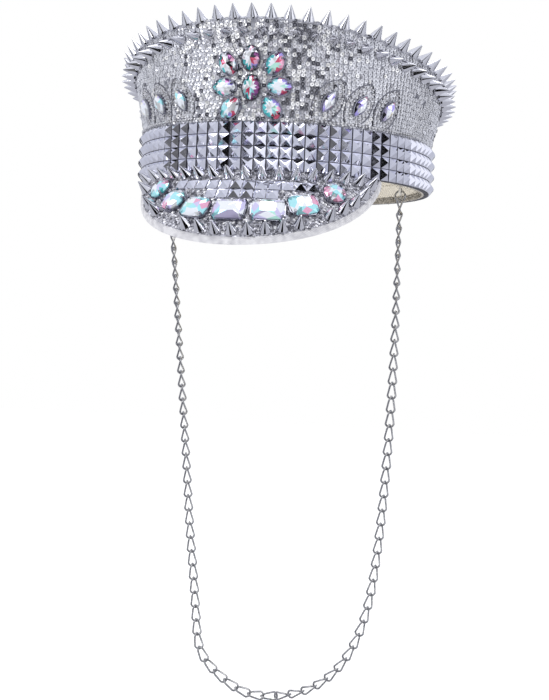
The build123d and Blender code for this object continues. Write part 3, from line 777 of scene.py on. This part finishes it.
def tubeAlong(name, points, radius, closed=False, sides=8):
    # a round tube on a smooth line through the points
    curve = bpy.data.curves.new(name, "CURVE")
    curve.dimensions = "3D"
    line = curve.splines.new("POLY")
    line.points.add(len(points) - 1)
    for target, point in zip(line.points, points):
        target.co = (*point, 1)
    line.use_cyclic_u = closed
    curve.bevel_depth = radius
    curve.bevel_resolution = max(0, sides // 4 - 1)
    curve.use_fill_caps = not closed
    holder = bpy.data.objects.new(name, curve)
    bpy.context.scene.collection.objects.link(holder)
    pickUp(holder)
    bpy.ops.object.convert(target="MESH")
    return bpy.context.object


rim = [rimPoint(math.tau * step / rimRoll["steps"]) for step in range(rimRoll["steps"])]
rim = [point - Vector((0, 0, rimRoll["drop"])) - outwardAt(point) * rimRoll["drop"] for point in rim]
roll = tubeAlong("crown_rim_roll", rim, rimRoll["radius"], closed=True, sides=rimRoll["sides"])
finishPiece(roll, "crown_rim_roll", sequinCloth, smooth=60)
print("rim rolled")


# ---- faceted stones ----

cut = {
    "sides": 12,
    "rings": [  # share of the outline, share of the height
        (1.00, 0.42), (0.80, 0.70), (0.50, 0.95),
    ],
    "peak": 1.0, "shake": 0.16 * mm, "patches": 5,
}


def oneStone():
    # a unit brilliant: a girdle, then rings of facets, each turned half a step, up to a low point
    bpy.ops.mesh.primitive_circle_add(vertices=cut["sides"], radius=1, fill_type="NGON")
    stone = bpy.context.object
    startEditing(stone)
    bpy.ops.mesh.select_all(action="SELECT")
    last = (1.0, 0.0)
    for index, (share, height) in enumerate(cut["rings"]):
        bpy.ops.mesh.extrude_region_move(TRANSFORM_OT_translate={"value": (0, 0, height - last[1])})
        shrink = share / last[0]
        bpy.ops.transform.resize(value=(shrink, shrink, 1), center_override=(0, 0, 0))
        if index:
            bpy.ops.transform.rotate(value=math.pi / cut["sides"], orient_axis="Z", center_override=(0, 0, 0))
        last = (share, height)
    bpy.ops.mesh.poke(offset=0.0)
    bpy.ops.mesh.select_all(action="SELECT")
    bpy.ops.mesh.quads_convert_to_tris(quad_method="SHORTEST_DIAGONAL")
    bpy.ops.mesh.normals_make_consistent(inside=False)
    bpy.ops.object.mode_set(mode="OBJECT")
    for vertex in stone.data.vertices:
        if vertex.co.xy.length < 0.01 and vertex.co.z > 0.5:
            vertex.co.z = cut["peak"]
    return stone


# outline power: 2 is an oval, more is squarer, under 2 comes to a point at the ends
ice = (0.90, 0.93, 0.98)
cream = (0.93, 0.90, 0.78)
cyan = (0.42, 0.86, 0.92)
aqua = (0.10, 0.62, 0.66)
teal = (0.03, 0.42, 0.46)
mint = (0.50, 0.86, 0.74)
violet = (0.42, 0.36, 0.86)
lavender = (0.66, 0.62, 0.90)
rose = (0.85, 0.42, 0.60)
ruby = (0.62, 0.08, 0.16)
plum = (0.28, 0.06, 0.26)
paintedBlackFacet = (0.02, 0.02, 0.03)
# the stone colours are painted reflections and fire on clear stones: white facets are painted glints, black
# facets painted dark reflections, the rest painted coloured fire
stoneLooks = {
    "badge_crystals": {"power": 1.6, "slot": "badge_crystal", "seed": 3,
                       "left": [aqua, teal, cyan, aqua, ice], "right": [ruby, rose, violet, ice, plum],
                       "inner": [ice, ice, paintedBlackFacet, cyan, ice, ruby, ice, mint]},
    "visor_rectangle_crystals": {"power": 7.0, "slot": "visor_crystal", "seed": 5,
                                 "left": [cyan, ice, lavender], "right": [ice, mint, lavender],
                                 "inner": [ice, ice, cream, ice, cyan, lavender, ice]},
    "visor_cushion_crystals": {"power": 3.6, "slot": "visor_crystal", "seed": 7,
                               "left": [lavender, cyan, ice, ice], "right": [cyan, mint, rose, ice],
                               "inner": [ice, cyan, lavender, ice, rose, mint, ice]},
    "visor_round_crystals": {"power": 2.0, "slot": "visor_crystal", "seed": 12,
                             "left": [lavender, rose, cyan], "right": [cyan, lavender, ice],
                             "inner": [ice, lavender, rose, cyan, ice]},
    "visor_small_crystals": {"power": 2.0, "slot": "visor_crystal", "seed": 13,
                             "left": [lavender, cyan, rose, ice], "right": [cyan, aqua, ice, rose],
                             "inner": [ice, lavender, ice, cyan, paintedBlackFacet]},
    "left_motif_stones": {"power": 1.3, "slot": "motif_crystal", "seed": 21,
                          "left": [violet, lavender, paintedBlackFacet], "right": [ice, rose, ice],
                          "inner": [ice, ice, violet, cream]},
    "right_motif_stones": {"power": 1.3, "slot": "motif_crystal", "seed": 22,
                           "left": [ice, cream, lavender], "right": [ice, cyan, ice],
                           "inner": [ice, ice, cream, cyan]},
}


def stoneFrame(points):
    # middle of the seat, long axis, outward axis and sizes of one CAD stone
    centre = points.mean(axis=0)
    spread = np.linalg.eigh(np.cov((points - centre).T))[1].T
    axes = [Vector(axis) for axis in spread]
    facing = outwardAt(Vector(centre)) * 0.8 + Vector((0, 0, 0.6 if centre[2] < 0.02 else 0))
    outward = max(axes, key=lambda axis: abs(axis.dot(facing)))
    flat = [axis for axis in axes if axis is not outward]
    outward = outward * (1 if outward.dot(facing) > 0 else -1)
    spans = {}
    for axis in (*flat, outward):
        reach = points @ np.array(axis)
        spans[id(axis)] = (reach.min(), reach.max())
    flat.sort(key=lambda axis: spans[id(axis)][0] - spans[id(axis)][1])
    along, across = flat
    if along.dot(level) + 0.3 * along.z < 0:
        along = -along
        spans[id(along)] = tuple(-value for value in reversed(spans[id(flat[0])]))
    foot = along * (sum(spans[id(along)]) / 2) + across * (sum(spans[id(across)]) / 2)
    foot += outward * spans[id(outward)][0]
    sizes = [spans[id(axis)][1] - spans[id(axis)][0] for axis in (along, across, outward)]
    return foot, along, outward, sizes


def shapeStone(stone, power, sizes, dice):
    for vertex in stone.data.vertices:
        angle = math.atan2(vertex.co.y, vertex.co.x)
        reach = vertex.co.xy.length
        cosine, sine = math.cos(angle), math.sin(angle)
        width = math.copysign(abs(cosine) ** (2 / power), cosine)
        depth = math.copysign(abs(sine) ** (2 / power), sine)
        inner = reach < 0.9 and vertex.co.z > 0.5
        shake = dice.uniform(-1, 1) * cut["shake"] if inner else 0
        rise = vertex.co.z * sizes[2] + shake
        vertex.co = (reach * width * sizes[0] / 2, reach * depth * sizes[1] / 2, rise)


def paintStoneReflections(stone, look, place, sizes, dice):
    # neighbouring facets share a colour, so each stone shows a few clear patches; the colours are painted
    # reflections and fire, white, black and coloured, and the outer facets turned to the camera's left take
    # the left list, those turned right the right list
    tints = []
    start = dice.random()
    inner = [dice.choice(look["inner"]) for _ in range(cut["patches"])]
    outer = [dice.random() for _ in range(cut["patches"] * 2)]
    for face in stone.data.polygons:
        flat = Vector((face.center.x / sizes[0], face.center.y / sizes[1]))
        share = 2 * flat.length
        turn = (math.atan2(flat.y, flat.x) / math.tau + start) % 1
        toward = (place.to_3x3() @ Vector((face.center.x, face.center.y, 0))).dot(level)
        if share < 0.62:
            tints.append(inner[int(turn * cut["patches"])])
        else:
            side = look["left"] if toward < 0 else look["right"]
            tints.append(side[int(outer[int(turn * cut["patches"] * 2)] * len(side))])
    return tints


stoneSeats = {}
for name, look in stoneLooks.items():
    dice = random.Random(look["seed"])
    made = []
    stoneSeats[name] = [stoneFrame(points) for points in separateParts(name)]
    for foot, along, outward, sizes in stoneSeats[name]:
        stone = oneStone()
        shapeStone(stone, look["power"], sizes, dice)
        place = seatMatrix(foot, outward, along)
        paintFaces(stone, paintStoneReflections(stone, look, place, sizes, dice))
        stone.data.transform(place)
        made.append(stone)
    deselectAll()
    for stone in made:
        stone.select_set(True)
    bpy.context.view_layer.objects.active = made[0]
    bpy.ops.object.join()
    piece = finishPiece(bpy.context.object, f"cut_{name}", crystalGlass)
    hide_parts(name)
print("stones cut:", {name: len(seats) for name, seats in stoneSeats.items()})


# ---- wire outlines of the leaf motifs ----

leafWire = {"length": 29.5 * mm, "width": 17.0 * mm, "radius": 0.38 * mm, "steps": 22, "lift": 0.35 * mm}


def leafOutline(seat):
    foot, along, outward, sizes = seat
    across = outward.cross(along)
    points = []
    for step in range(2 * leafWire["steps"]):
        turn = math.tau * step / (2 * leafWire["steps"])
        bulge = math.copysign(abs(math.sin(turn)) ** 1.5, math.sin(turn))
        lengthwise = along * (leafWire["length"] / 2 * math.cos(turn))
        sideways = across * (leafWire["width"] / 2 * bulge)
        flat = foot + lengthwise + sideways
        point, normal, _, _ = crownSkin.ray_cast(flat + outward * 0.02, -outward, 0.05)
        if point is not None and point.z > crownBox[0].z + 1 * mm:
            points.append(point + normal * leafWire["lift"])
        elif points:
            points.append(None)
    return points


for side in ("left", "right"):
    wires = []
    for index, seat in enumerate(stoneSeats[f"{side}_motif_stones"]):
        run = []
        for point in leafOutline(seat) + [None]:
            if point is not None:
                run.append(point)
            elif len(run) > 3:
                wires.append(tubeAlong(f"{side}_leaf_wire_{index}", run, leafWire["radius"]))
                run = []
            else:
                run = []
    deselectAll()
    for wire in wires:
        wire.select_set(True)
    bpy.context.view_layer.objects.active = wires[0]
    bpy.ops.object.join()
    finishPiece(bpy.context.object, f"{side}_leaf_wires", metals["wireMetal"], smooth=50)
print("leaf outlines laid")


# ---- claws over the set stones ----

claw = {"width": 1.5, "thick": 0.55, "rise": 0.72, "reach": 1.5, "outside": 0.30 * mm, "bevel": 0.14}


def oneClaw(height):
    # a flat tab that stands beside the stone and is folded over its shoulder, local X outward
    bpy.ops.mesh.primitive_cube_add(size=1)
    tab = bpy.context.object
    tab.scale = (claw["thick"], claw["width"], height * claw["rise"])
    tab.location = (0, 0, height * claw["rise"] / 2)
    pickUp(tab)
    bpy.ops.object.transform_apply(location=True, rotation=True, scale=True)
    startEditing(tab)
    selectFaces(tab, lambda centre, normal: normal.z > 0.9)
    bpy.ops.mesh.extrude_region_move(TRANSFORM_OT_translate={"value": (-claw["reach"] * 0.4, 0, 0.45)})
    bpy.ops.mesh.extrude_region_move(TRANSFORM_OT_translate={"value": (-claw["reach"] * 0.6, 0, 0.15)})
    bpy.ops.transform.resize(value=(0.5, 0.6, 0.5))
    bpy.ops.object.mode_set(mode="OBJECT")
    rounding = tab.modifiers.new("rounding", "BEVEL")
    rounding.width = claw["bevel"]
    rounding.segments = 1
    bpy.ops.object.modifier_apply(modifier="rounding")
    return tab


clawPlaces = []
clawHeight = 0.0
for name in stoneLooks:
    if "motif" in name:
        continue
    for foot, along, outward, sizes in stoneSeats[name]:
        place = seatMatrix(foot, outward, along)
        clawHeight = sizes[2] / mm
        for corner in range(4):
            angle = math.atan2(sizes[1], sizes[0]) * (1 if corner % 2 else -1) + math.pi * (corner // 2)
            power = stoneLooks[name]["power"]
            width = math.copysign(abs(math.cos(angle)) ** (2 / power), math.cos(angle)) * sizes[0] / 2
            depth = math.copysign(abs(math.sin(angle)) ** (2 / power), math.sin(angle)) * sizes[1] / 2
            way = math.atan2(depth, width)
            edge = Matrix.Translation((width, depth, 0)) @ Matrix.Rotation(way, 4, "Z")
            outside = Matrix.Translation((claw["outside"], 0, 0))
            clawPlaces.append(place @ edge @ outside @ Matrix.Scale(mm, 4))
claws = scatter("stone_claws", oneClaw(clawHeight), clawPlaces)
finishPiece(claws, "stone_claws", metals["cupMetal"], smooth=40)
print("claws folded,", len(clawPlaces))


# ---- rhinestone chain along the top of the band ----

trim = {"radius": 1.05 * mm, "height": 1.3 * mm, "spacing": 2.35 * mm, "up": 1.5 * mm,
        "from": 13.0, "to": 74.0, "sides": 8}


def oneRhinestone():
    bpy.ops.mesh.primitive_circle_add(vertices=trim["sides"], radius=trim["radius"], fill_type="NGON")
    stone = bpy.context.object
    startEditing(stone)
    bpy.ops.mesh.select_all(action="SELECT")
    for rise, shrink in ((0.45, 1.0), (0.55, 0.55)):
        bpy.ops.mesh.extrude_region_move(TRANSFORM_OT_translate={"value": (0, 0, rise * trim["height"])})
        bpy.ops.transform.resize(value=(shrink, shrink, 1), center_override=(0, 0, 0))
    bpy.ops.transform.rotate(value=math.pi / trim["sides"], orient_axis="Z", center_override=(0, 0, 0))
    bpy.ops.mesh.select_all(action="SELECT")
    bpy.ops.mesh.quads_convert_to_tris(quad_method="SHORTEST_DIAGONAL")
    bpy.ops.mesh.normals_make_consistent(inside=False)
    bpy.ops.object.mode_set(mode="OBJECT")
    return stone


trimPlaces = []
for side in (1, -1):
    angle = trim["from"]
    while angle < trim["to"]:
        point, outward = wallHit(math.radians(side * angle), crownBox[0].z + trim["up"])
        trimPlaces.append(seatMatrix(point, outward))
        angle += math.degrees(trim["spacing"] / (point - Vector((middle.x, middle.y, point.z))).length)
trimPiece = scatter("band_rhinestones", oneRhinestone(), trimPlaces)
finishPiece(trimPiece, "band_rhinestones", rhinestoneGlass)
print("rhinestone chain laid,", len(trimPlaces))


# ---- lining, gathered a little where it is sewn to the crown ----

lining = {"columns": 200, "rows": 9, "fold": 1.1 * mm, "thick": 0.35 * mm, "clear": 0.5 * mm}
liningSkin = surfaceOf("crown_side_lining")
roofSkin = surfaceOf("crown_top_lining")
liningBox = [Vector(corner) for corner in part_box("crown_side_lining")]


def insideHit(skin, angle, height):
    way = Vector((math.sin(angle), -math.cos(angle), 0))
    start = Vector((middle.x, middle.y, height))
    point, outward, _, _ = skin.ray_cast(start, way, 0.2)
    return point


bpy.ops.mesh.primitive_grid_add(x_subdivisions=lining["columns"], y_subdivisions=lining["rows"], size=2)
liner = bpy.context.object
tops = {}
for vertex in liner.data.vertices:
    across, up = (vertex.co.x + 1) / 2, (vertex.co.y + 1) / 2
    angle = math.tau * across
    low = liningBox[0].z + 0.3 * mm
    key = round(across * lining["columns"]) % lining["columns"]
    if key not in tops:
        wallPoint = insideHit(liningSkin, angle, low + 6 * mm)
        under = Vector((wallPoint.x * 0.97, wallPoint.y * 0.97, low))
        tops[key] = roofSkin.ray_cast(under, Vector((0, 0, 1)), 0.2)[0].z - 0.6 * mm
    height = low + (tops[key] - low) * up
    point = insideHit(liningSkin, angle, height) or insideHit(liningSkin, angle, height - 1 * mm)
    swell = math.sin(math.pi * up) ** 0.5 if 0 < up < 1 else 0
    folds = 0.5 + 0.3 * math.sin(23 * angle + 2 * up) + 0.2 * math.sin(41 * angle - 3 * up + 1)
    vertex.co = point - outwardAt(point) * (lining["clear"] + lining["fold"] * folds * swell)
startEditing(liner)
bpy.ops.mesh.select_all(action="SELECT")
bpy.ops.mesh.remove_doubles(threshold=0.02 * mm)
bpy.ops.mesh.normals_make_consistent(inside=True)
bpy.ops.object.mode_set(mode="OBJECT")
body = liner.modifiers.new("cloth", "SOLIDIFY")
body.thickness = lining["thick"]
body.offset = -1
bpy.ops.object.modifier_apply(modifier="cloth")
finishPiece(liner, "gathered_lining", cloths["creamLining"], smooth=80)
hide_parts("crown_side_lining")
print("lining gathered")


# ---- stitching ----

stitch = {"length": 2.3 * mm, "radius": 0.24 * mm, "spacing": 3.3 * mm, "lean": 8.0}
thread = wovenCloth("creamThread", {
    "light": (0.80, 0.76, 0.68), "dark": (0.62, 0.58, 0.50), "sheen": 0.2, "depth": 0.6, "rise": 0.1 * mm,
    "weave": {"Threads": 3000.0, "Patch": 600.0}})


def oneStitch():
    # a short round thread whose ends dive into the cloth, along local X
    bpy.ops.mesh.primitive_cylinder_add(
        vertices=6, radius=stitch["radius"], depth=stitch["length"] * 0.7, rotation=(0, math.pi / 2, 0))
    piece = bpy.context.object
    pickUp(piece)
    bpy.ops.object.transform_apply(location=True, rotation=True, scale=True)
    for end in (1, -1):
        startEditing(piece)
        selectFaces(piece, lambda centre, normal: normal.x * end > 0.9)
        drop = (end * stitch["length"] * 0.15, 0, -stitch["radius"] * 1.3)
        bpy.ops.mesh.extrude_region_move(TRANSFORM_OT_translate={"value": drop})
        bpy.ops.transform.resize(value=(0.6, 0.6, 0.6))
        bpy.ops.object.mode_set(mode="OBJECT")
    return piece


def stitchLine(seats):
    # seats are points and outward ways along a line; a stitch every spacing
    places = []
    run = 0.0
    for here, after in zip(seats, seats[1:]):
        step = (after[0] - here[0]).length
        run += step
        if run >= stitch["spacing"] and step < 4 * mm:
            run -= stitch["spacing"]
            turned = Matrix.Rotation(math.radians(stitch["lean"]), 4, "Z")
            seat = here[0] + here[1] * stitch["radius"] * 0.6
            places.append(seatMatrix(seat, here[1], after[0] - here[0]) @ turned)
    return places


def ringInside(name, height, steps=720):
    skin = surfaceOf(name)
    points = [insideHit(skin, math.tau * step / steps, height) for step in range(steps + 1)]
    return [(point, -outwardAt(point)) for point in points if point is not None]


bandBox = [Vector(corner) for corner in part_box("sweatband")]
stitchPlaces = stitchLine(ringInside("sweatband", bandBox[0].z + 7.5 * mm))
stitchPlaces += stitchLine(ringInside("sweatband", bandBox[1].z - 2.5 * mm))
underSkin = surfaceOf("visor_underlining")
underBox = [Vector(corner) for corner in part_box("visor_underlining")]
rimMiddle = Vector((0, underBox[0].y + (underBox[1].x - underBox[0].x) / 2, 0))
rimSeats = []
for step in range(-88 * 4, 88 * 4 + 1):
    way = Vector((math.sin(math.radians(step / 4)), -math.cos(math.radians(step / 4)), 0))
    reach = (underBox[1].x - underBox[0].x) / 2 - 3.2 * mm
    start = rimMiddle + way * reach + Vector((0, 0, underBox[0].z - 0.02))
    point, outward, _, _ = underSkin.ray_cast(start, Vector((0, 0, 1)), 0.2)
    if point is not None and outward.z < -0.2:
        rimSeats.append((point, outward))
stitchPlaces += stitchLine(rimSeats)
stitching = scatter("seam_stitches", oneStitch(), stitchPlaces)
finishPiece(stitching, "seam_stitches", thread, smooth=50)
print("stitches sewn,", len(stitchPlaces))


# ---- frayed threads on the hem ----

fray = {"count": 1500, "radius": 0.11 * mm, "shortest": 0.8, "longest": 2.4, "seed": 31}


def oneFibre():
    # a bent three-sided thread one millimetre long, along local Z
    bpy.ops.mesh.primitive_cone_add(vertices=3, radius1=fray["radius"], radius2=fray["radius"] * 0.5,
                                    depth=1 * mm, location=(0, 0, 0.5 * mm), end_fill_type="NOTHING")
    fibre = bpy.context.object
    pickUp(fibre)
    bpy.ops.object.transform_apply(location=True, rotation=True, scale=True)
    startEditing(fibre)
    bpy.ops.mesh.select_all(action="SELECT")
    bpy.ops.mesh.subdivide(number_cuts=2)
    bpy.ops.object.mode_set(mode="OBJECT")
    for vertex in fibre.data.vertices:
        vertex.co.x += 0.35 * mm * (vertex.co.z / mm) ** 2
    return fibre


hemSkin = surfaceOf("hem_tape")
hemBox = [Vector(corner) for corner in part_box("hem_tape")]
dice = random.Random(fray["seed"])
fibrePlaces = []
while len(fibrePlaces) < fray["count"]:
    angle = dice.uniform(0, math.tau)
    height = hemBox[0].z + dice.random() * (hemBox[1].z - hemBox[0].z - 0.2 * mm)
    point = insideHit(hemSkin, angle, height)
    if point is None:
        continue
    inward = -outwardAt(point)
    way = inward * dice.uniform(0.15, 0.8) + inward.cross(upright) * dice.uniform(-1, 1)
    way += upright * dice.uniform(-0.9, 0.5)
    size = dice.uniform(fray["shortest"], fray["longest"])
    fibrePlaces.append(seatMatrix(point, way, upright, dice.uniform(0, 6)) @ Matrix.Scale(size, 4))
fibres = scatter("hem_fray", oneFibre(), fibrePlaces)
finishPiece(fibres, "hem_fray", cloths["roughHem"])
print("hem frayed,", len(fibrePlaces))


# ---- chain ----

# the same route as the solids', in metres, from the wearer's left ring to the right one
chainTop = (73.2, -5.275)
routePoints = [
    chainTop, (73.4, -45.0), (73.9, -90.0), (73.3, -140.0), (71.3, -190.0), (68.6, -228.0),
    (65.0, -255.0), (58.5, -277.0), (48.0, -295.0), (33.5, -307.5), (16.5, -313.8), (-1.0, -315.8),
    (-14.0, -313.3), (-26.0, -306.0), (-36.5, -297.0), (-42.0, -286.5), (-43.9, -270.0), (-46.5, -246.0),
    (-50.6, -215.0), (-55.0, -170.0), (-59.6, -129.0), (-64.4, -85.0), (-69.2, -40.0),
    (-chainTop[0], chainTop[1]),
]
chainLook = {
    "plane": -7.0 * mm, "links": 79, "wire": 1.25 * mm, "width": 6.4 * mm, "play": 0.25 * mm,
    "aroundLink": 26, "aroundWire": 8, "twist": 90.0, "faceOn": 45.0,
    "topTurn": 70.0, "settleLeft": 0.12, "settleRight": 0.26,
}


def smoothRoute():
    curve = bpy.data.curves.new("chain_route", "CURVE")
    curve.dimensions = "3D"
    curve.resolution_u = 16
    line = curve.splines.new("NURBS")
    line.points.add(len(routePoints) - 1)
    for target, (x, z) in zip(line.points, routePoints):
        target.co = (x * mm, chainLook["plane"], z * mm, 1)
    line.order_u = 3
    line.use_endpoint_u = True
    holder = bpy.data.objects.new("chain_route", curve)
    bpy.context.scene.collection.objects.link(holder)
    bpy.context.view_layer.update()
    mesh = bpy.data.meshes.new_from_object(holder)
    points = [vertex.co.copy() for vertex in mesh.vertices]
    bpy.data.objects.remove(holder)
    bpy.data.meshes.remove(mesh)
    return points


def along(points, lengths, distance):
    # point and direction at a distance from the start
    index = int(np.searchsorted(lengths, distance)) - 1
    index = max(0, min(index, len(points) - 2))
    share = (distance - lengths[index]) / (lengths[index + 1] - lengths[index])
    step = points[index + 1] - points[index]
    return points[index] + step * share, step.normalized()


def oneLink(pitch):
    # a torus stretched to a long link, then twisted a quarter turn from end to end
    bend = (chainLook["width"] - chainLook["wire"]) / 2
    reach = (pitch + chainLook["wire"] + chainLook["play"]) / 2
    bpy.ops.mesh.primitive_torus_add(
        major_segments=chainLook["aroundLink"], minor_segments=chainLook["aroundWire"],
        major_radius=bend, minor_radius=chainLook["wire"] / 2, rotation=(math.pi / 2, 0, 0))
    link = bpy.context.object
    pickUp(link)
    bpy.ops.object.transform_apply(location=True, rotation=True, scale=True)
    for end in (1, -1):
        startEditing(link)
        selectFaces(link, lambda centre, normal: centre.z * end > 0)
        bpy.ops.transform.translate(value=(0, 0, end * (reach - bend)))
        bpy.ops.object.mode_set(mode="OBJECT")
    for vertex in link.data.vertices:
        turn = math.radians(chainLook["twist"]) / 2 * max(-1, min(1, vertex.co.z / reach))
        vertex.co = Matrix.Rotation(turn, 3, "Z") @ vertex.co
    return link


route = smoothRoute()
lengths = np.concatenate([[0], np.cumsum([(b - a).length for a, b in zip(route, route[1:])])])
chainLength = float(lengths[-1])
pitch = chainLength / chainLook["links"]
linkPlaces = []
for index in range(chainLook["links"]):
    distance = (index + 0.5) * pitch
    point, direction = along(route, lengths, distance)
    onLeft = distance < chainLength / 2
    fromTop = distance if onLeft else chainLength - distance
    unsettled = max(0, 1 - fromTop / chainLook["settleLeft" if onLeft else "settleRight"])
    hang = -direction if onLeft else direction
    turn = math.radians(chainLook["faceOn"] + chainLook["topTurn"] * unsettled)
    linkPlaces.append(seatMatrix(point, hang, (1, 0, 0) if abs(hang.z) > 0.5 else (0, 0, 1), turn))
chain = scatter("twisted_chain", oneLink(pitch), linkPlaces)
finishPiece(chain, "twisted_chain", metals["chainMetal"], body="chain", smooth=70)
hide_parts("chain_links")
print("chain laid,", round(chainLength, 4), "m in", chainLook["links"], "links")
